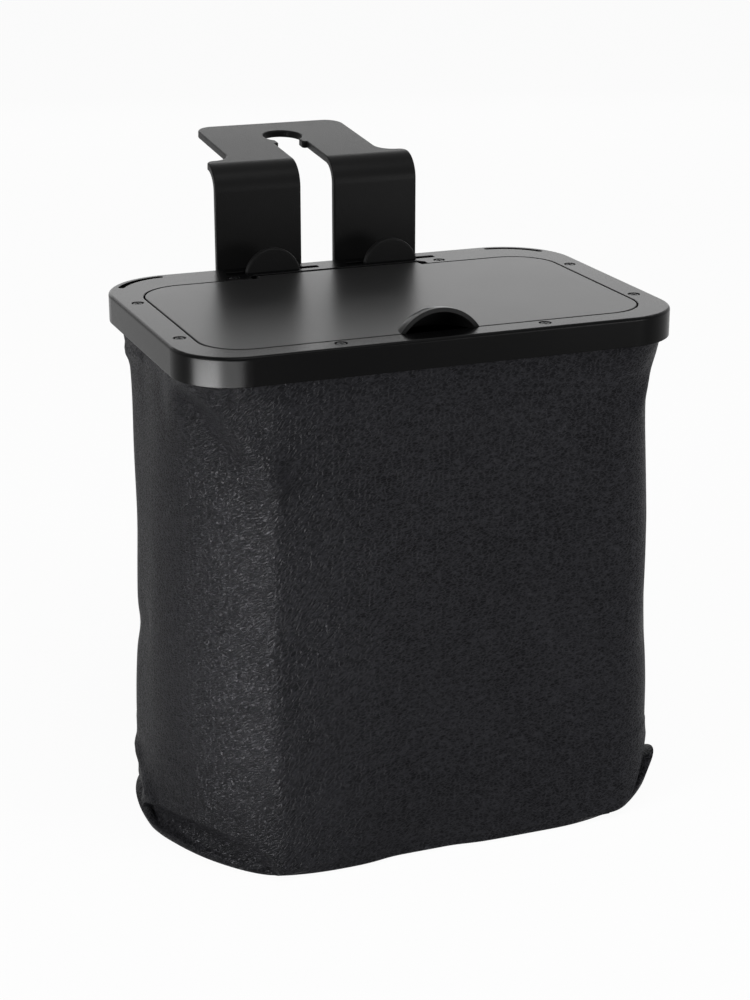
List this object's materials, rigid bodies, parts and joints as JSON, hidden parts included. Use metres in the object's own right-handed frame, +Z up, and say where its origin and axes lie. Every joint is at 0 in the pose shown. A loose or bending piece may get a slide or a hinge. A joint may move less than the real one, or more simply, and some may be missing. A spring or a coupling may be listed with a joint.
{
  "type": "car trash bin",
  "caption": "Hanging car trash bin: soft leather bag with a boxed bottom under a moulded rim, hinged flap lid with a finger hood, and a bent hanger with a keyhole plate for a headrest post.",
  "frame": {"origin": "on the floor under the middle of the rim, in the plane of the bag's bottom", "axes": "+Z up, +Y to the rear where the hanger is, -Y to the front with the finger hood, X across the width"},
  "size_m": [0.272, 0.2727, 0.3386],
  "materials": {
    "rim_plastic": "satin black moulding",
    "hanger_plastic": "satin black moulding",
    "steel": "blackened steel",
    "bag_leather": "fine pebble grain, soft sheen",
    "bag_lining": "coated woven lining",
    "board_plastic": "matt sheet"
  },
  "bodies": {
    "bin": {"upper_frame": "rim_plastic", "clamp_ring": "rim_plastic", "hinge_rod": "steel", "frame_screws": "steel", "hanger": "hanger_plastic", "bag_shell": "bag_leather", "bag_lining": "bag_lining", "base_board": "board_plastic"},
    "lid": {"lid": "rim_plastic"}
  },
  "joints": [
    {"name": "lid_hinge", "type": "hinge", "parent": "bin", "child": "lid", "pos_m": [0, 0.0652, 0.2752], "axis": [-1, 0, 0], "range_deg": [0, 100]}
  ]
}
